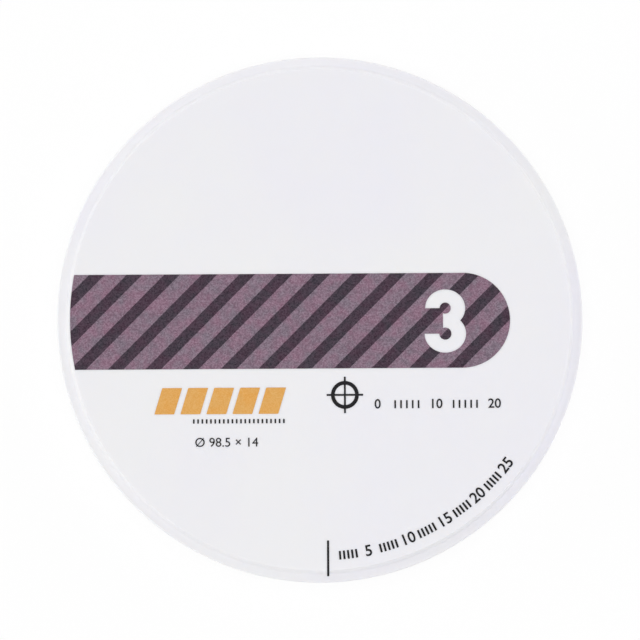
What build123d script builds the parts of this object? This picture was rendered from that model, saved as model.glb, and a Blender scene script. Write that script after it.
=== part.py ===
from build123d import *
import math
import os

# A dental milling disc, lying flat with its printed face up. All sizes are in millimetres.
# The origin is the centre of the bottom face. +X runs along the printed band towards its
# round end, +Y runs across the band, and +Z points up out of the printed face.

# Blank, turned in one piece with a clamping flange round its middle
flange_diameter = 98.5
flange_thickness = 10.0
shoulder_width = 1.95  # how far the flange stands out past the body
step_height = 2.0  # from each shoulder to the face beyond it
face_chamfer = 0.5
flange_chamfer = 0.2
root_radius = 0.4  # in the corner between a shoulder and the body's wall

# Printed band: one end follows the face's edge, the other is round
ink_thickness = 0.05
band_width = 17.7
band_offset = -0.3  # the band's centreline lies this far off the disc's axis
band_edge_gap = 0.2  # bare face between the edge of the face and the band's cut end
band_tip_gap = 11.3  # bare face between the edge of the face and the band's round end

# Stripes of the band, dark on light
stripe_angle = 45.0
stripe_pitch = 4.97  # square across the stripes
dark_stripe_width = 2.06
stripe_shift = -1.2  # where the middle dark stripe crosses the band's centreline

# Index mark, a line printed over the edge of the face and down the wall, clear of the clamped shoulder
mark_width = 0.4
mark_x = 1.3
mark_on_face = 5.6  # how far it reaches in from the edge of the face

# Sizes that follow from those above
flange_radius = flange_diameter / 2
body_radius = flange_radius - shoulder_width
face_radius = body_radius - face_chamfer
lower_shoulder_z = step_height
upper_shoulder_z = lower_shoulder_z + flange_thickness
top_z = upper_shoulder_z + step_height

same_place = 1e-6  # nearer than this, two sizes are the same


def corners_at(section, radius):
    """Finds the corners of a half-section that lie at one radius, lowest first."""
    return section.vertices().filter_by(lambda corner: abs(corner.X - radius) < same_place).sort_by(Axis.Z)


def half_section():
    """Draws the blank from its axis outwards, the same above and below the flange."""
    profile = Polyline(
        (0, 0),
        (body_radius, 0),
        (body_radius, lower_shoulder_z),
        (flange_radius, lower_shoulder_z),
        (flange_radius, upper_shoulder_z),
        (body_radius, upper_shoulder_z),
        (body_radius, top_z),
        (0, top_z),
        close=True,
    )
    section = Plane.XZ * make_face(profile)
    section = chamfer(corners_at(section, flange_radius), flange_chamfer)
    roots = corners_at(section, body_radius)[1:-1]
    section = fillet(roots, root_radius)
    wall_ends = corners_at(section, body_radius)
    return chamfer([wall_ends[0], wall_ends[-1]], face_chamfer)


def zirconia_blank():
    """Turns the blank about its axis."""
    return revolve(half_section(), Axis.Z)


def band_outline():
    """Draws the whole band: straight edges, one round end, and one end cut along the face's edge."""
    end_radius = band_width / 2
    end_x = face_radius - band_tip_gap - end_radius
    straight_length = face_radius + end_x
    straight = Pos(end_x - straight_length / 2, 0) * Rectangle(straight_length, band_width)
    round_end = Pos(end_x, 0) * Circle(end_radius)
    printed_face = Circle(face_radius - band_edge_gap)
    return (Pos(0, band_offset) * (straight + round_end)) & printed_face


def dark_stripes():
    """Draws the slanted dark stripes, long enough to cross the band and enough of them to fill it."""
    pitch_along_band = stripe_pitch / math.sin(math.radians(stripe_angle))
    stripe_length = 2 * band_width / math.sin(math.radians(stripe_angle))
    reach = face_radius + band_width / math.tan(math.radians(stripe_angle))
    count_each_way = math.ceil(reach / pitch_along_band)
    stripes = []
    for step in range(-count_each_way, count_each_way + 1):
        crossing = Pos(stripe_shift + step * pitch_along_band, band_offset)
        stripes.append(crossing * Rot(0, 0, stripe_angle) * Rectangle(stripe_length, dark_stripe_width))
    return stripes


def ink_film(shapes):
    """Lays flat shapes on the printed face and gives each one the thickness of the ink."""
    films = [extrude(Pos(0, 0, top_z) * face, ink_thickness) for shape in shapes for face in shape.faces()]
    return Compound(children=[solid for film in films for solid in film.solids()])


def band_dark_ink():
    """Prints the dark stripes where they cross the band."""
    outline = band_outline()
    return ink_film([outline & stripe for stripe in dark_stripes()])


def band_mauve_ink():
    """Prints the rest of the band, edge to edge with the dark stripes."""
    return ink_film([band_outline() - dark_stripes()])


def index_mark_ink():
    """Runs the mark over the face's edge and down to the root of the wall, as a skin on the blank."""
    inner_radius = face_radius - mark_on_face
    outer_radius = body_radius + ink_thickness
    lowest_z = upper_shoulder_z + root_radius
    height = top_z + ink_thickness - lowest_z
    window = Plane.XZ * Pos((inner_radius + outer_radius) / 2, lowest_z + height / 2)
    window = window * Rectangle(outer_radius - inner_radius, height)
    skin = offset(half_section(), ink_thickness) - half_section()
    ring = revolve(skin & window, Axis.Z)
    straight_cut = Pos(mark_x, -outer_radius / 2, top_z / 2) * Box(mark_width, outer_radius, 2 * top_z)
    return ring & straight_cut


os.makedirs("parts", exist_ok=True)
for sub_part in (zirconia_blank, band_mauve_ink, band_dark_ink, index_mark_ink):
    export_step(sub_part(), f"parts/{sub_part.__name__}.step")
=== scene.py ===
"""Dresses a dental milling disc: chalky zirconia with a turned rim, a striped printed band and small marks.

Lengths of the object are named in millimetres and turned into Blender's metres where a mesh is made. Only
`top`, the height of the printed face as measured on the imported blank, is in metres from the start.
The disc lies flat with its printed face up: +X runs along the band towards its round end, +Y across it.
"""

import logging
import math
from collections.abc import Callable, Iterable
from dataclasses import dataclass, field
from enum import Enum

import bmesh
import bpy
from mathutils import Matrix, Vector


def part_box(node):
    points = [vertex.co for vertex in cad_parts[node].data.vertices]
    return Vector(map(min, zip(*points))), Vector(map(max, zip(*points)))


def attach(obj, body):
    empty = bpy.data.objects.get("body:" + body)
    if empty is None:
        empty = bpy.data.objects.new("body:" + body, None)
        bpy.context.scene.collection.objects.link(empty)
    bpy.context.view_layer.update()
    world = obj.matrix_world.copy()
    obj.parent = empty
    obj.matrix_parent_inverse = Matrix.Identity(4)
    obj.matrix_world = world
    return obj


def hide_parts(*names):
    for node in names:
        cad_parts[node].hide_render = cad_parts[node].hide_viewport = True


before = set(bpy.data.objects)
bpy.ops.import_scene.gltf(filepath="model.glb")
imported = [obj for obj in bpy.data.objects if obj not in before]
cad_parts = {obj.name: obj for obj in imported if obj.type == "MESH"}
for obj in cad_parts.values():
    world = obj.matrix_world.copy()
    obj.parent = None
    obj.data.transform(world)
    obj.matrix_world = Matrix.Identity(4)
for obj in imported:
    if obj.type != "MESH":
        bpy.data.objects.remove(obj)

log = logging.getLogger("milling_disc")

MM = 0.001
RIGHT_ANGLE = 90.0
BODY = "root"

# Sockets of a Mix node that mixes colours
MIX_FIRST, MIX_SECOND, MIX_RESULT = 6, 7, 2

# Most of a noise pattern's values lie in this span
NOISE_SPAN = (0.3, 0.7)

Colour = tuple[float, float, float, float]
MeshElement = bmesh.types.BMVert | bmesh.types.BMEdge


class Node(Enum):
    """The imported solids, by name."""

    BLANK = "zirconia_blank"
    BAND_LIGHT = "band_mauve_ink"
    BAND_DARK = "band_dark_ink"
    INDEX_MARK = "index_mark_ink"


class Slot(Enum):
    """The record's slots for ink, by name."""

    MAUVE_INK = "mauve_ink"
    DARK_INK = "dark_ink"
    BLACK_INK = "black_ink"
    ORANGE_INK = "orange_ink"


class Element(Enum):
    """What is picked on a mesh in edit mode."""

    CORNER = "VERT"
    EDGE = "EDGE"


class Blend(Enum):
    """What becomes of the second of two solids."""

    ADDED = "UNION"
    CUT_AWAY = "DIFFERENCE"


@dataclass(frozen=True)
class Place:
    """A place on the printed face, in millimetres from the disc's axis, and a turn in degrees."""

    x: float
    y: float
    turn: float = 0.0


def linear(hex_colour: str) -> Colour:
    """Turns a written sRGB colour into the linear one that a shader takes.

    Args:
        hex_colour: Six hex digits, red first.

    Returns:
        Red, green and blue from 0 to 1, and an alpha of 1.
    """
    toe, toe_slope, offset, power = 0.04045, 12.92, 0.055, 2.4
    channels = [int(hex_colour[i : i + 2], 16) / 255 for i in (0, 2, 4)]
    red, green, blue = (
        c / toe_slope if c <= toe else ((c + offset) / (1 + offset)) ** power for c in channels
    )
    return (red, green, blue, 1.0)


def add_node(
    tree: bpy.types.NodeTree,
    kind: str,
    settings: dict[str, object] | None = None,
    inputs: dict[str | int, object] | None = None,
) -> bpy.types.Node:
    """Adds one node to a tree, with its settings and with its inputs set or linked.

    Args:
        tree: The tree that gets the node.
        kind: The node's type name.
        settings: Properties of the node itself.
        inputs: A value, or another node's output to link, for each input's name or number.

    Returns:
        The new node.
    """
    node = tree.nodes.new(kind)
    for name, value in (settings or {}).items():
        setattr(node, name, value)
    for key, value in (inputs or {}).items():
        if isinstance(value, bpy.types.NodeSocket):
            tree.links.new(value, node.inputs[key])
        else:
            node.inputs[key].default_value = value
    return node


def new_material(name: str) -> tuple[bpy.types.Material, bpy.types.NodeTree]:
    """Makes an empty node material.

    Args:
        name: The material's name.

    Returns:
        The material and its cleared tree.
    """
    material = bpy.data.materials.new(name)
    material.use_nodes = True
    material.node_tree.nodes.clear()
    return material, material.node_tree


def deselect_all() -> None:
    """Leaves object mode's selection empty."""
    bpy.ops.object.select_all(action="DESELECT")


def make_active(piece: bpy.types.Object) -> None:
    """Selects one object alone and makes it the active one.

    Args:
        piece: The object.
    """
    deselect_all()
    piece.select_set(True)
    bpy.context.view_layer.objects.active = piece


def apply_place(piece: bpy.types.Object) -> None:
    """Moves an object's place, turn and scale into its mesh."""
    make_active(piece)
    bpy.ops.object.transform_apply(location=True, rotation=True, scale=True)


def apply_modifier(piece: bpy.types.Object, kind: str, settings: dict[str, object]) -> None:
    """Gives a piece one modifier and applies it.

    Args:
        piece: The mesh object.
        kind: The modifier's type name.
        settings: The modifier's properties.
    """
    make_active(piece)
    modifier = piece.modifiers.new(kind.title(), kind)
    for name, value in settings.items():
        setattr(modifier, name, value)
    bpy.ops.object.modifier_apply(modifier=modifier.name)


def combine(base: bpy.types.Object, other: bpy.types.Object, blend: Blend) -> None:
    """Changes a solid by another one, which stays as it is.

    Args:
        base: The solid that changes.
        other: The solid that is added or cut away.
        blend: Which of the two.
    """
    apply_modifier(base, "BOOLEAN", {"operation": blend.value, "object": other, "solver": "EXACT"})


def use_up(base: bpy.types.Object, other: bpy.types.Object, blend: Blend) -> None:
    """Changes a solid by another one, and deletes that one.

    Args:
        base: The solid that changes.
        other: The solid that is added or cut away, and then deleted.
        blend: Which of the two.
    """
    combine(base, other, blend)
    bpy.data.objects.remove(other)


def edit(piece: bpy.types.Object, *steps: Callable[[], object]) -> None:
    """Runs edit-mode operators on a piece, starting with the whole mesh selected.

    Args:
        piece: The mesh object.
        steps: Calls with no arguments, run in order.
    """
    make_active(piece)
    bpy.ops.object.mode_set(mode="EDIT")
    bpy.ops.mesh.select_mode(type="FACE")
    bpy.ops.mesh.select_all(action="SELECT")
    for step in steps:
        step()
    bpy.ops.object.mode_set(mode="OBJECT")


def pick(kind: Element, test: Callable[[MeshElement], bool]) -> None:
    """Selects corners or edges of the mesh in edit mode by their place.

    Args:
        kind: What is picked.
        test: Says of each one whether it is selected.
    """
    mesh = bpy.context.edit_object.data
    bpy.ops.mesh.select_mode(type=kind.value)
    bpy.ops.mesh.select_all(action="DESELECT")
    shape = bmesh.from_edit_mesh(mesh)
    for element in shape.verts if kind is Element.CORNER else shape.edges:
        if test(element):
            element.select_set(True)
    shape.select_flush_mode()
    bmesh.update_edit_mesh(mesh)


def face_outwards() -> None:
    """Turns every face of the mesh in edit mode outwards."""
    bpy.ops.mesh.select_all(action="SELECT")
    bpy.ops.mesh.normals_make_consistent(inside=False)


def merge_doubles(piece: bpy.types.Object, distance_mm: float = 1e-4) -> None:
    """Joins corners that lie in one place, and turns every face outwards.

    Args:
        piece: The mesh object.
        distance_mm: How near corners are when they are joined.
    """
    edit(piece, lambda: bpy.ops.mesh.remove_doubles(threshold=distance_mm * MM), face_outwards)


def copy_of(source: bpy.types.Object) -> bpy.types.Object:
    """Copies an object, with a mesh of its own, tied to nothing.

    Args:
        source: The object that is copied.

    Returns:
        The copy.
    """
    copy = bpy.data.objects.new(source.name, source.data.copy())
    bpy.context.scene.collection.objects.link(copy)
    return copy


def join(pieces: list[bpy.types.Object]) -> bpy.types.Object:
    """Joins pieces into one object.

    Args:
        pieces: The objects, each with its place in its mesh.

    Returns:
        The joined object.
    """
    make_active(pieces[0])
    for piece in pieces:
        piece.select_set(True)
    bpy.ops.object.join()
    return bpy.context.object


def dress(piece: bpy.types.Object, material: bpy.types.Material) -> None:
    """Gives a piece one material all over."""
    piece.data.materials.clear()
    piece.data.materials.append(material)


@dataclass(frozen=True)
class ChalkyZirconia:
    """Pre-sintered zirconia, pressed from powder and turned: white, dead matt and powdery to the eye.

    Light sinks a little way into the porous ceramic, so its edges and corners look soft. The grain is
    drawn at 0.25 mm, much coarser than the powder's, so that it shows at all. The lathe's feed marks
    only show on the rim, because the faces are ground flat.
    """

    name: str = "pre_sintered_zirconia"
    body_hex: str = "F2F2F2"
    shade_hex: str = "EFEEF5"
    shade_span: tuple[float, float] = (0.4, 0.95)
    cloud_mm: float = 30.0
    cloud_detail: float = 3.0
    grain_mm: float = 0.25
    grain_detail: float = 2.0
    grain_fineness: float = 0.6
    grain_share: float = 0.35
    grain_height_mm: float = 0.012
    feed_mm: float = 0.18
    feed_height_mm: float = 0.004
    rim_radius_mm: float = 46.9
    roughness: tuple[float, float] = (0.82, 0.95)
    ior: float = 1.5
    sheen_level: float = 0.25
    glow_share: float = 0.6
    glow_depth_mm: float = 0.5
    glow_tint: tuple[float, float, float] = (1.0, 0.95, 0.9)

    def build(self) -> bpy.types.Material:
        """Makes the material.

        Returns:
            The finished material.
        """
        material, tree = new_material(self.name)
        place = add_node(tree, "ShaderNodeTexCoord").outputs["Object"]
        clouds = add_node(
            tree,
            "ShaderNodeTexNoise",
            inputs={"Vector": place, "Scale": 1 / (self.cloud_mm * MM), "Detail": self.cloud_detail},
        ).outputs[0]
        grain = add_node(
            tree,
            "ShaderNodeTexNoise",
            inputs={
                "Vector": place,
                "Scale": 1 / (self.grain_mm * MM),
                "Detail": self.grain_detail,
                "Roughness": self.grain_fineness,
            },
        ).outputs[0]
        mottle = add_node(
            tree,
            "ShaderNodeMath",
            {"operation": "MULTIPLY_ADD"},
            {0: grain, 1: self.grain_share, 2: clouds},
        )
        shade = add_node(
            tree,
            "ShaderNodeMapRange",
            inputs={
                "Value": mottle.outputs[0],
                "From Min": self.shade_span[0],
                "From Max": self.shade_span[1],
            },
        )
        colour = add_node(
            tree,
            "ShaderNodeMix",
            {"data_type": "RGBA"},
            {
                "Factor": shade.outputs[0],
                MIX_FIRST: linear(self.body_hex),
                MIX_SECOND: linear(self.shade_hex),
            },
        )
        dryness = add_node(
            tree,
            "ShaderNodeMapRange",
            inputs={
                "Value": grain,
                "From Min": NOISE_SPAN[0],
                "From Max": NOISE_SPAN[1],
                "To Min": self.roughness[0],
                "To Max": self.roughness[1],
            },
        )
        shader = add_node(
            tree,
            "ShaderNodeBsdfPrincipled",
            inputs={
                "Base Color": colour.outputs[MIX_RESULT],
                "Roughness": dryness.outputs[0],
                "IOR": self.ior,
                "Specular IOR Level": self.sheen_level,
                "Subsurface Weight": self.glow_share,
                "Subsurface Scale": self.glow_depth_mm * MM,
                "Subsurface Radius": self.glow_tint,
                "Normal": self.surface(tree, place, grain),
            },
        )
        add_node(tree, "ShaderNodeOutputMaterial", inputs={"Surface": shader.outputs[0]})
        return material

    def surface(
        self, tree: bpy.types.NodeTree, place: bpy.types.NodeSocket, grain: bpy.types.NodeSocket
    ) -> bpy.types.NodeSocket:
        """Adds the powder's grain all over and the lathe's feed marks on the rim.

        Args:
            tree: The material's tree.
            place: The place on the piece.
            grain: The grain's pattern.

        Returns:
            The bumped normal.
        """
        split = add_node(tree, "ShaderNodeSeparateXYZ", inputs={0: place})
        level_place = add_node(
            tree, "ShaderNodeCombineXYZ", inputs={"X": split.outputs["X"], "Y": split.outputs["Y"]}
        )
        radius = add_node(
            tree, "ShaderNodeVectorMath", {"operation": "LENGTH"}, {0: level_place.outputs[0]}
        ).outputs["Value"]
        along_section = add_node(
            tree, "ShaderNodeMath", {"operation": "ADD"}, {0: radius, 1: split.outputs["Z"]}
        )
        turns = add_node(
            tree,
            "ShaderNodeMath",
            {"operation": "MULTIPLY"},
            {0: along_section.outputs[0], 1: math.tau / (self.feed_mm * MM)},
        )
        ridges = add_node(tree, "ShaderNodeMath", {"operation": "SINE"}, {0: turns.outputs[0]})
        on_rim = add_node(
            tree, "ShaderNodeMath", {"operation": "GREATER_THAN"}, {0: radius, 1: self.rim_radius_mm * MM}
        )
        marks = add_node(
            tree, "ShaderNodeMath", {"operation": "MULTIPLY"}, {0: ridges.outputs[0], 1: on_rim.outputs[0]}
        )
        turned = add_node(
            tree,
            "ShaderNodeBump",
            inputs={"Height": marks.outputs[0], "Strength": 1.0, "Distance": self.feed_height_mm * MM},
        )
        powdery = add_node(
            tree,
            "ShaderNodeBump",
            inputs={
                "Height": grain,
                "Strength": 1.0,
                "Distance": self.grain_height_mm * MM,
                "Normal": turned.outputs[0],
            },
        )
        return powdery.outputs[0]


@dataclass(frozen=True)
class PrintedInk:
    """Pigment ink jetted on the porous ceramic: it soaks in and dries matt, mottled and finely dotted.

    Where less ink lands the ceramic's white shows through, so the print looks grainy close up, and the
    tint drifts between warm and cool where the wet colours spread. The dots are drawn coarser than real
    ones so that they show.
    """

    name: str
    thick_hex: str
    thin_hex: str
    warm_hex: str
    cool_hex: str
    tint_share: float = 0.4
    drift_mm: float = 2.2
    drift_detail: float = 3.0
    drift_span: tuple[float, float] = (0.35, 0.65)
    dot_mm: float = 0.2
    roughness: float = 0.75
    ior: float = 1.5
    sheen_level: float = 0.25
    soak_height_mm: float = 0.005

    def material(self) -> bpy.types.Material:
        """Finds the ink's material, which is made on its first use."""
        return bpy.data.materials.get(self.name) or self.build()

    def build(self) -> bpy.types.Material:
        """Makes the material.

        Returns:
            The finished material.
        """
        material, tree = new_material(self.name)
        place = add_node(tree, "ShaderNodeTexCoord").outputs["Object"]
        drift = add_node(
            tree,
            "ShaderNodeTexNoise",
            inputs={"Vector": place, "Scale": 1 / (self.drift_mm * MM), "Detail": self.drift_detail},
        )
        dots = add_node(
            tree,
            "ShaderNodeTexVoronoi",
            {"feature": "F1"},
            {"Vector": place, "Scale": 1 / (self.dot_mm * MM)},
        )
        shades = add_node(tree, "ShaderNodeSeparateColor", inputs={0: dots.outputs["Color"]})
        swing = add_node(
            tree,
            "ShaderNodeMapRange",
            inputs={
                "Value": drift.outputs[0],
                "From Min": self.drift_span[0],
                "From Max": self.drift_span[1],
            },
        )
        tint = add_node(
            tree,
            "ShaderNodeMix",
            {"data_type": "RGBA"},
            {
                "Factor": swing.outputs[0],
                MIX_FIRST: linear(self.warm_hex),
                MIX_SECOND: linear(self.cool_hex),
            },
        )
        cover = add_node(
            tree,
            "ShaderNodeMix",
            {"data_type": "RGBA"},
            {
                "Factor": shades.outputs["Red"],
                MIX_FIRST: linear(self.thick_hex),
                MIX_SECOND: linear(self.thin_hex),
            },
        )
        colour = add_node(
            tree,
            "ShaderNodeMix",
            {"data_type": "RGBA"},
            {
                "Factor": self.tint_share,
                MIX_FIRST: cover.outputs[MIX_RESULT],
                MIX_SECOND: tint.outputs[MIX_RESULT],
            },
        )
        relief = add_node(
            tree,
            "ShaderNodeBump",
            inputs={
                "Height": shades.outputs["Blue"],
                "Strength": 1.0,
                "Distance": self.soak_height_mm * MM,
            },
        )
        shader = add_node(
            tree,
            "ShaderNodeBsdfPrincipled",
            inputs={
                "Base Color": colour.outputs[MIX_RESULT],
                "Roughness": self.roughness,
                "IOR": self.ior,
                "Specular IOR Level": self.sheen_level,
                "Normal": relief.outputs[0],
            },
        )
        add_node(tree, "ShaderNodeOutputMaterial", inputs={"Surface": shader.outputs[0]})
        return material


INKS = {
    Slot.MAUVE_INK: PrintedInk("mauve_pigment_ink", "604658", "9D8999", "956A7F", "77727C"),
    Slot.DARK_INK: PrintedInk("plum_black_pigment_ink", "22141F", "594A57", "4C2E42", "35353F"),
    Slot.BLACK_INK: PrintedInk("black_pigment_ink", "0E0D10", "242227", "1C181B", "16181C"),
    Slot.ORANGE_INK: PrintedInk("orange_pigment_ink", "DC9C48", "E6B46C", "E4A24E", "DEAC66"),
}


def hand_over(piece: bpy.types.Object, name: str, slot: Slot, replaced: Iterable[Node] = ()) -> None:
    """Names a finished print, inks it, ties it to the disc and reports it.

    Args:
        piece: The finished piece.
        name: Its name.
        slot: The record's slot that it takes its finish from.
        replaced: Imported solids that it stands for.
    """
    piece.name = piece.data.name = name
    dress(piece, INKS[slot].material())
    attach(piece, BODY)
    for node in replaced:
        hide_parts(node.value)
    log.info("%s: %d faces", piece.name, len(piece.data.polygons))


@dataclass
class Blank:
    """The turned blank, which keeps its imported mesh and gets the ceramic's finish."""

    finish: ChalkyZirconia = field(default_factory=ChalkyZirconia)

    @property
    def top(self) -> float:
        """Height of the printed face, in metres."""
        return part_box(Node.BLANK.value)[1].z

    def dress(self) -> None:
        """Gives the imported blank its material."""
        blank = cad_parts[Node.BLANK.value]
        dress(blank, self.finish.build())
        log.info("%s: dressed", blank.name)


@dataclass
class Numeral:
    """A plain heavy 3, left unprinted in the band: two bowls, two round counters and an open left side.

    Sizes are in millimetres. The numeral's middle is half-way between the middles of its bowls. What is
    cut out of it stands past both ends of the solid, so that it passes right through.
    """

    top: float
    centre_x: float = 23.41
    centre_y: float = -0.40
    bowl_spacing: float = 4.76
    upper_bowl: tuple[float, float] = (3.73, 3.50)
    lower_bowl: tuple[float, float] = (3.87, 3.55)
    upper_counter: float = 1.03
    lower_counter: float = 1.12
    mouth_depth: float = 0.42
    corners: int = 128
    depth: float = 1.0
    through_depth: float = 2.0

    def tool(self) -> bpy.types.Object:
        """Models the solid that cuts the numeral out of the ink.

        Returns:
            The cutting solid, which the caller deletes.
        """
        upper_y = self.centre_y + self.bowl_spacing / 2
        lower_y = self.centre_y - self.bowl_spacing / 2
        numeral = self.round_slug(upper_y, self.upper_bowl, self.depth)
        use_up(numeral, self.round_slug(lower_y, self.lower_bowl, self.depth), Blend.ADDED)
        mouth_end = self.centre_x - self.mouth_depth
        mouth = self.square_slug(mouth_end, lower_y, upper_y, self.through_depth)
        use_up(numeral, mouth, Blend.CUT_AWAY)
        for y, radius in ((upper_y, self.upper_counter), (lower_y, self.lower_counter)):
            counter = self.round_slug(y, (radius, radius), self.through_depth)
            use_up(numeral, counter, Blend.CUT_AWAY)
        return numeral

    def round_slug(self, y: float, radii: tuple[float, float], depth: float) -> bpy.types.Object:
        """Models an upright oval slug across the ink.

        Args:
            y: Its middle along Y.
            radii: Its half-widths along X and Y.
            depth: Its height.

        Returns:
            The slug.
        """
        deselect_all()
        bpy.ops.mesh.primitive_cylinder_add(
            vertices=self.corners,
            radius=MM,
            depth=depth * MM,
            location=(self.centre_x * MM, y * MM, self.top),
            scale=(radii[0], radii[1], 1),
        )
        slug = bpy.context.object
        apply_place(slug)
        return slug

    def square_slug(self, right: float, low: float, high: float, depth: float) -> bpy.types.Object:
        """Models an upright square-cornered slug across the ink, open to the numeral's left.

        Args:
            right: Its right side along X.
            low: Its lower side along Y.
            high: Its upper side along Y.
            depth: Its height.

        Returns:
            The slug.
        """
        width = 2 * self.lower_bowl[0]
        deselect_all()
        bpy.ops.mesh.primitive_cube_add(
            size=MM,
            location=((right - width / 2) * MM, (low + high) / 2 * MM, self.top),
            scale=(width, high - low, depth),
        )
        slug = bpy.context.object
        apply_place(slug)
        return slug


@dataclass
class StripedBand:
    """The two inks of the band, with the numeral left bare in both."""

    numeral: Numeral

    def build(self) -> None:
        """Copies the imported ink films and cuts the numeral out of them."""
        tool = self.numeral.tool()
        for node, slot in ((Node.BAND_LIGHT, Slot.MAUVE_INK), (Node.BAND_DARK, Slot.DARK_INK)):
            film = copy_of(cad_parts[node.value])
            merge_doubles(film)
            combine(film, tool, Blend.CUT_AWAY)
            hand_over(film, f"{node.value}_print", slot, [node])
        bpy.data.objects.remove(tool)


@dataclass
class Print:
    """Flat print on the upper face: marks as thin films of ink.

    A mark is modelled on the middle of the face, and then put or copied to where it belongs. The height
    of a figure is `figure_share` of the size of its type.
    """

    top: float
    ink_mm: float = 0.05
    corner_steps: int = 3
    curve_steps: int = 6
    figure_share: float = 0.73

    def bar(
        self, size: tuple[float, float], slant: float = 0.0, corner: float = 0.05
    ) -> bpy.types.Object:
        """Models one printed bar with slightly soft corners.

        Args:
            size: Its width and height, in millimetres.
            slant: How far its upper edge leans to the right, in millimetres.
            corner: How much is rounded off at its corners, in millimetres.

        Returns:
            The bar, as a closed film.
        """
        deselect_all()
        bpy.ops.mesh.primitive_plane_add(size=MM, location=(0, 0, self.top))
        bar = bpy.context.object
        bar.scale = (size[0], size[1], 1)
        apply_place(bar)
        edit(
            bar,
            lambda: pick(Element.CORNER, lambda point: point.co.y > 0),
            lambda: bpy.ops.transform.translate(value=(slant * MM, 0, 0)),
            lambda: bpy.ops.mesh.select_all(action="SELECT"),
            lambda: bpy.ops.mesh.bevel(
                offset=corner * MM, offset_pct=0, segments=self.corner_steps, affect="VERTICES"
            ),
        )
        self.thicken(bar)
        return bar

    def ring(self, radius: float, width: float, corners: int = 72) -> bpy.types.Object:
        """Models one printed ring.

        Args:
            radius: Its outer radius, in millimetres.
            width: The width of its line, in millimetres.
            corners: How many corners it has.

        Returns:
            The ring, as a closed film.
        """
        deselect_all()
        bpy.ops.mesh.primitive_circle_add(
            vertices=corners, radius=radius * MM, fill_type="NGON", location=(0, 0, self.top)
        )
        ring = bpy.context.object
        apply_place(ring)
        edit(
            ring,
            lambda: bpy.ops.mesh.inset(thickness=width * MM),
            lambda: bpy.ops.mesh.delete(type="FACE"),
        )
        self.thicken(ring)
        return ring

    def number(self, text: str, height: float, bold: float = 0.0) -> bpy.types.Object:
        """Sets plain figures as a film of ink.

        Args:
            text: The figures.
            height: The height of a figure, in millimetres.
            bold: How much the strokes are widened, as a share of the letter size.

        Returns:
            The figures, as closed films.
        """
        half_ink = self.ink_mm / 2 * MM
        deselect_all()
        bpy.ops.object.text_add(location=(0, 0, self.top + half_ink))
        figures = bpy.context.object
        figures.data.body = text
        figures.data.align_x = "CENTER"
        figures.data.align_y = "CENTER"
        figures.data.size = height / self.figure_share * MM
        figures.data.offset = bold * figures.data.size
        figures.data.extrude = half_ink
        figures.data.resolution_u = self.curve_steps
        bpy.ops.object.convert(target="MESH")
        figures = bpy.context.object
        apply_place(figures)
        merge_doubles(figures)
        return figures

    def thicken(self, flat: bpy.types.Object) -> None:
        """Gives a flat outline the thickness of the ink, upwards.

        Args:
            flat: The outline, filled in.
        """
        rise = {"value": (0, 0, self.ink_mm * MM)}
        edit(
            flat,
            lambda: bpy.ops.mesh.extrude_region_move(TRANSFORM_OT_translate=rise),
            face_outwards,
        )

    def put(self, mark: bpy.types.Object, place: Place) -> bpy.types.Object:
        """Moves a mark to its place on the face.

        Args:
            mark: The mark, on the middle of the face.
            place: Where it belongs.

        Returns:
            The same mark.
        """
        mark.location = (place.x * MM, place.y * MM, 0)
        mark.rotation_euler = (0, 0, math.radians(place.turn))
        apply_place(mark)
        return mark

    def repeat(self, mark: bpy.types.Object, places: Iterable[Place]) -> list[bpy.types.Object]:
        """Copies a mark to each of its places, and deletes the first one.

        Args:
            mark: The mark, on the middle of the face.
            places: Where its copies belong.

        Returns:
            The copies, each with its own mesh.
        """
        copies = [self.put(copy_of(mark), place) for place in places]
        bpy.data.objects.remove(mark)
        return copies


@dataclass
class SlantedBars:
    """A row of slanted orange bars over a row of fine dark ticks, left of the middle below the band."""

    print_on: Print
    left: float = -30.2
    middle_y: float = -15.1
    bar_size: tuple[float, float] = (3.7, 4.9)
    gap: float = 1.15
    lean: float = 1.5
    corner: float = 0.12
    count: int = 5
    tick_left: float = -23.6
    tick_y: float = -18.9
    tick_size: tuple[float, float] = (0.3, 0.8)
    tick_pitch: float = 0.8
    tick_count: int = 22

    def build(self) -> None:
        """Prints the bars and the ticks."""
        first_x = self.left + (self.bar_size[0] - self.lean) / 2
        pitch = self.bar_size[0] + self.gap
        bar = self.print_on.bar(self.bar_size, self.lean, self.corner)
        bars = self.print_on.repeat(
            bar, [Place(first_x + i * pitch, self.middle_y) for i in range(self.count)]
        )
        hand_over(join(bars), "orange_slanted_bars", Slot.ORANGE_INK)
        ticks = self.print_on.repeat(
            self.print_on.bar(self.tick_size),
            [Place(self.tick_left + i * self.tick_pitch, self.tick_y) for i in range(self.tick_count)],
        )
        hand_over(join(ticks), "fine_ticks", Slot.BLACK_INK)


@dataclass
class SizeNumbers:
    """The disc's diameter and height in small figures, below the bars."""

    print_on: Print
    text: str = "Ø 98.5 × 14"
    height: float = 1.75
    place: Place = Place(-17.5, -22.9)

    def build(self) -> None:
        """Prints the figures."""
        figures = self.print_on.put(self.print_on.number(self.text, self.height), self.place)
        hand_over(figures, "size_numbers", Slot.BLACK_INK)


@dataclass
class DatumTarget:
    """A black ring with a cross through it, right of the middle below the band."""

    print_on: Print
    place: Place = Place(4.6, -14.1)
    radius: float = 2.6
    line: float = 0.7
    cross_line: float = 0.35
    overhang: float = 0.8

    def build(self) -> None:
        """Prints the ring and its cross as one film."""
        arm = 2 * (self.radius + self.overhang)
        target = self.print_on.ring(self.radius, self.line)
        for size in ((arm, self.cross_line), (self.cross_line, arm)):
            use_up(target, self.print_on.bar(size), Blend.ADDED)
        merge_doubles(target)
        hand_over(self.print_on.put(target, self.place), "datum_target", Slot.BLACK_INK)


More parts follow.
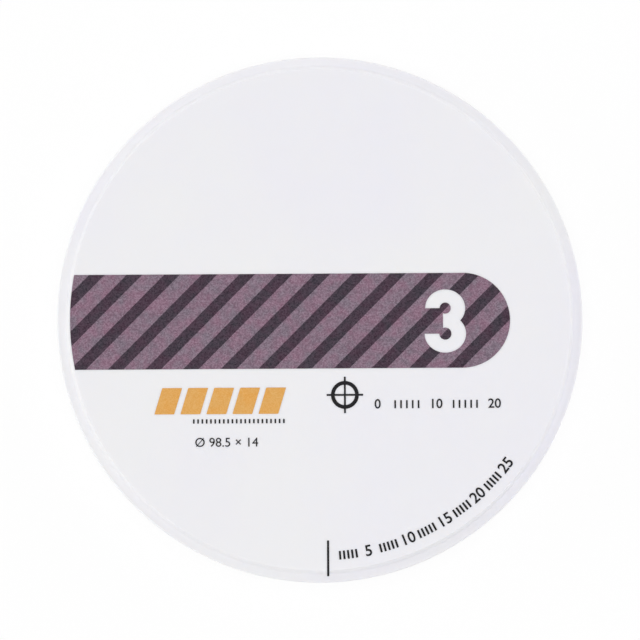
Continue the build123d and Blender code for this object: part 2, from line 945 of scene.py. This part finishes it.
@dataclass
class Graduation:
    """A row of fine ticks, with plain numbers in place of ticks at equal steps.

    The tick next to a number stands `nearest_tick` steps from it.
    """

    print_on: Print
    name: str
    last_step: int
    first_step: int = 0
    steps_per_number: int = 10
    value_per_step: float = 1.0
    nearest_tick: int = 3
    tick: tuple[float, float] = (0.3, 1.5)
    figure_height: float = 1.8
    bold: float = 0.01

    def at(self, step: int) -> Place:
        """Finds one step of the row, counted from the row's start."""
        raise NotImplementedError

    def build(self) -> None:
        """Prints the ticks and the numbers, with room left on both sides of a number."""
        numbers = []
        tick_places = []
        for step in range(self.first_step, self.last_step + 1):
            past_number = step % self.steps_per_number
            if past_number == 0:
                value = str(round(step * self.value_per_step))
                figures = self.print_on.number(value, self.figure_height, self.bold)
                numbers.append(self.print_on.put(figures, self.at(step)))
            elif self.nearest_tick <= past_number <= self.steps_per_number - self.nearest_tick:
                tick_places.append(self.at(step))
        ticks = self.print_on.repeat(self.print_on.bar(self.tick), tick_places)
        hand_over(join(numbers + ticks), self.name, Slot.BLACK_INK)


@dataclass
class StraightScale(Graduation):
    """A straight scale in line with the foot of the datum target."""

    name: str = "straight_scale"
    last_step: int = 20
    start: Place = Place(10.7, -15.9)
    pitch: float = 1.09

    def at(self, step: int) -> Place:
        """Finds one step along the straight row."""
        return Place(self.start.x + step * self.pitch, self.start.y)


@dataclass
class RimScale(Graduation):
    """A scale along the lower right edge, counted from the index mark."""

    name: str = "rim_scale"
    first_step: int = 3
    last_step: int = 52
    value_per_step: float = 0.5
    tick: tuple[float, float] = (0.38, 1.6)
    figure_height: float = 2.1
    bold: float = 0.014
    radius: float = 44.1
    start_degrees: float = -88.4
    step_degrees: float = 1.0

    def at(self, step: int) -> Place:
        """Finds one step along the edge, with its foot towards the edge.

        Args:
            step: How many steps it lies past the row's start.

        Returns:
            Its place and turn.
        """
        degrees = self.start_degrees + step * self.step_degrees
        angle = math.radians(degrees)
        x, y = self.radius * math.cos(angle), self.radius * math.sin(angle)
        return Place(x, y, degrees + RIGHT_ANGLE)


@dataclass
class IndexMark:
    """The black line over the edge of the face: down the chamfer and the wall, and onto the shoulder.

    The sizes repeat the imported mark's and the blank's, in millimetres. The mark alone ends further out.
    """

    top: float
    x: float = 1.3
    width: float = 0.4
    inner_radius: float = 41.2
    face_radius: float = 46.8
    body_radius: float = 47.3
    end_radius: float = 48.0
    chamfer: float = 0.5
    step_height: float = 2.0
    root_radius: float = 0.4
    root_steps: int = 6
    ink_mm: float = 0.05

    def section(self) -> list[Vector]:
        """Lists the corners of the blank's edge where the mark crosses it, from the face outwards.

        Returns:
            Each corner's Y and Z, in metres.
        """
        face_z = self.top / MM
        shoulder_z = face_z - self.step_height
        corners = [(self.face_radius, face_z), (self.body_radius, face_z - self.chamfer)]
        for step in range(self.root_steps + 1):
            turn = math.pi / 2 * step / self.root_steps
            corners.append(
                (
                    self.body_radius + self.root_radius * (1 - math.cos(turn)),
                    shoulder_z + self.root_radius * (1 - math.sin(turn)),
                )
            )
        corners.append((self.end_radius, shoulder_z))
        return [Vector((-radius * MM, z * MM)) for radius, z in corners]

    def build(self) -> None:
        """Runs a strip along the face and its edge, and thickens it."""
        length = self.face_radius - self.inner_radius
        deselect_all()
        bpy.ops.mesh.primitive_plane_add(
            size=MM, location=(self.x * MM, -(self.inner_radius + length / 2) * MM, self.top)
        )
        strip = bpy.context.object
        strip.scale = (self.width, length, 1)
        apply_place(strip)
        corners = self.section()
        edit(strip, *(self.run_on(start, end) for start, end in zip(corners, corners[1:])), face_outwards)
        apply_modifier(strip, "SOLIDIFY", {"thickness": self.ink_mm * MM, "offset": 1.0})
        hand_over(strip, "index_mark", Slot.BLACK_INK, [Node.INDEX_MARK])

    def run_on(self, start: Vector, end: Vector) -> Callable[[], None]:
        """Plans the extrusion of the strip's end from one corner of the section to the next.

        Args:
            start: The corner where the strip ends now.
            end: The corner that it runs on to.

        Returns:
            The call that does it in edit mode.
        """
        same_place = 1e-3 * MM

        def extrude() -> None:
            """Picks the strip's end and extrudes it."""
            pick(
                Element.EDGE,
                lambda edge: all((corner.co.yz - start).length < same_place for corner in edge.verts),
            )
            step = end - start
            bpy.ops.mesh.extrude_region_move(TRANSFORM_OT_translate={"value": (0, step.x, step.y)})

        return extrude


@dataclass(frozen=True)
class Softbox:
    """One wide soft lamp, far off, in a direction of its own. Its angles are in degrees."""

    name: str
    azimuth: float
    elevation: float
    level: float
    spread: float = 35.0

    def hang(self) -> None:
        """Adds the lamp, so that a level of 1 lights a white sheet square on as white."""
        light = bpy.data.lights.new(self.name, "SUN")
        light.energy = self.level * math.pi
        light.angle = math.radians(self.spread)
        lamp = bpy.data.objects.new(self.name, light)
        from_overhead = math.radians(RIGHT_ANGLE - self.elevation)
        lamp.rotation_euler = (0, from_overhead, math.radians(self.azimuth))
        bpy.context.scene.collection.objects.link(lamp)


SOFTBOXES = (
    Softbox("overhead_softbox", 0, 90, 0.36),
    Softbox("left_softbox", 180, 20, 0.21),
    Softbox("left_rear_softbox", 135, 20, 0.1),
    Softbox("left_front_softbox", 225, 20, 0.075),
    Softbox("right_softbox", 0, 20, 0.11),
    Softbox("right_rear_softbox", 45, 20, 0.16),
    Softbox("right_front_softbox", 315, 20, 0.04),
    Softbox("front_softbox", 270, 40, 0.05),
)


@dataclass
class Studio:
    """A white table under a pale sky, an overhead lamp and side lamps, strongest left and weakest in front.

    The table has a round opening that the disc covers, and it can be seen through from below, so that
    the disc's lower face gets light and shows. It lies a hair below that face, so that the two never mix.
    The table's radius, the camera's distance and the width of its view are in metres, and the camera's
    tilt and roll are in degrees.
    """

    floor_radius: float = 3.0
    opening_radius_mm: float = 46.4
    gap_mm: float = 0.02
    floor_corners: int = 256
    floor_hex: str = "FDFDFD"
    floor_glow: float = 0.9
    sky: float = 0.445
    camera_distance: float = 0.5
    view_width: float = 0.1199
    sensor_mm: float = 36.0
    tilt: float = 1.0
    roll: float = -0.33
    aim_mm: tuple[float, float, float] = (0.04, -0.07, 12.0)

    def build(self) -> None:
        """Makes the floor, the sky, the lamps and the camera."""
        self.build_floor()
        self.build_sky()
        for softbox in SOFTBOXES:
            softbox.hang()
        self.build_camera()
        bpy.context.scene.view_settings.view_transform = "Standard"

    def build_floor(self) -> None:
        """Lays a flat white floor that shows white to the camera and keeps a soft shadow."""
        deselect_all()
        bpy.ops.mesh.primitive_circle_add(
            vertices=self.floor_corners,
            radius=self.floor_radius,
            fill_type="NGON",
            location=(0, 0, -self.gap_mm * MM),
        )
        floor = bpy.context.object
        floor.name = floor.data.name = "floor"
        apply_place(floor)
        side_distance = self.floor_radius * math.cos(math.pi / self.floor_corners)
        edit(
            floor,
            lambda: bpy.ops.mesh.inset(thickness=side_distance - self.opening_radius_mm * MM),
            lambda: bpy.ops.mesh.delete(type="FACE"),
        )
        dress(floor, self.floor_material())

    def floor_material(self) -> bpy.types.Material:
        """Makes a matt white that glows to the camera from above and is clear from below.

        Returns:
            The finished material.
        """
        material, tree = new_material("white_table")
        rays = add_node(tree, "ShaderNodeLightPath")
        glow_share = add_node(
            tree,
            "ShaderNodeMath",
            {"operation": "MULTIPLY"},
            {0: rays.outputs["Is Camera Ray"], 1: self.floor_glow},
        )
        plain = add_node(
            tree, "ShaderNodeBsdfDiffuse", inputs={"Color": linear(self.floor_hex), "Roughness": 1.0}
        )
        glow = add_node(tree, "ShaderNodeEmission", inputs={"Strength": 1.0})
        above = add_node(
            tree,
            "ShaderNodeMixShader",
            inputs={0: glow_share.outputs[0], 1: plain.outputs[0], 2: glow.outputs[0]},
        )
        side = add_node(tree, "ShaderNodeNewGeometry")
        below = add_node(tree, "ShaderNodeBsdfTransparent")
        table = add_node(
            tree,
            "ShaderNodeMixShader",
            inputs={0: side.outputs["Backfacing"], 1: above.outputs[0], 2: below.outputs[0]},
        )
        add_node(tree, "ShaderNodeOutputMaterial", inputs={"Surface": table.outputs[0]})
        return material

    def build_sky(self) -> None:
        """Lights the scene evenly from all round, and shows white behind it."""
        world = bpy.data.worlds.new("studio_sky")
        bpy.context.scene.world = world
        world.use_nodes = True
        tree = world.node_tree
        tree.nodes.clear()
        rays = add_node(tree, "ShaderNodeLightPath")
        strength = add_node(
            tree,
            "ShaderNodeMapRange",
            inputs={"Value": rays.outputs["Is Camera Ray"], "To Min": self.sky, "To Max": 1.0},
        )
        background = add_node(tree, "ShaderNodeBackground", inputs={"Strength": strength.outputs[0]})
        add_node(tree, "ShaderNodeOutputWorld", inputs={"Surface": background.outputs[0]})

    def build_camera(self) -> None:
        """Looks down on the disc, a little from the side of its index mark."""
        data = bpy.data.cameras.new("camera")
        data.sensor_width = self.sensor_mm
        data.lens = self.sensor_mm * self.camera_distance / self.view_width
        camera = bpy.data.objects.new("camera", data)
        bpy.context.scene.collection.objects.link(camera)
        target = Vector(self.aim_mm) * MM
        tilt = math.radians(self.tilt)
        camera.location = target + self.camera_distance * Vector((0, -math.sin(tilt), math.cos(tilt)))
        camera.rotation_euler = (tilt, 0, 0)
        camera.rotation_euler.rotate_axis("Z", math.radians(self.roll))
        bpy.context.scene.camera = camera


def main() -> None:
    """Builds the disc's looks and the studio in order."""
    logging.basicConfig(level=logging.INFO, format="%(name)s: %(message)s")
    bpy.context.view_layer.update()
    blank = Blank()
    blank.dress()
    StripedBand(Numeral(blank.top)).build()
    face_print = Print(blank.top)
    SlantedBars(face_print).build()
    SizeNumbers(face_print).build()
    DatumTarget(face_print).build()
    StraightScale(face_print).build()
    RimScale(face_print).build()
    IndexMark(blank.top).build()
    Studio().build()


if __name__ == "__main__":
    main()
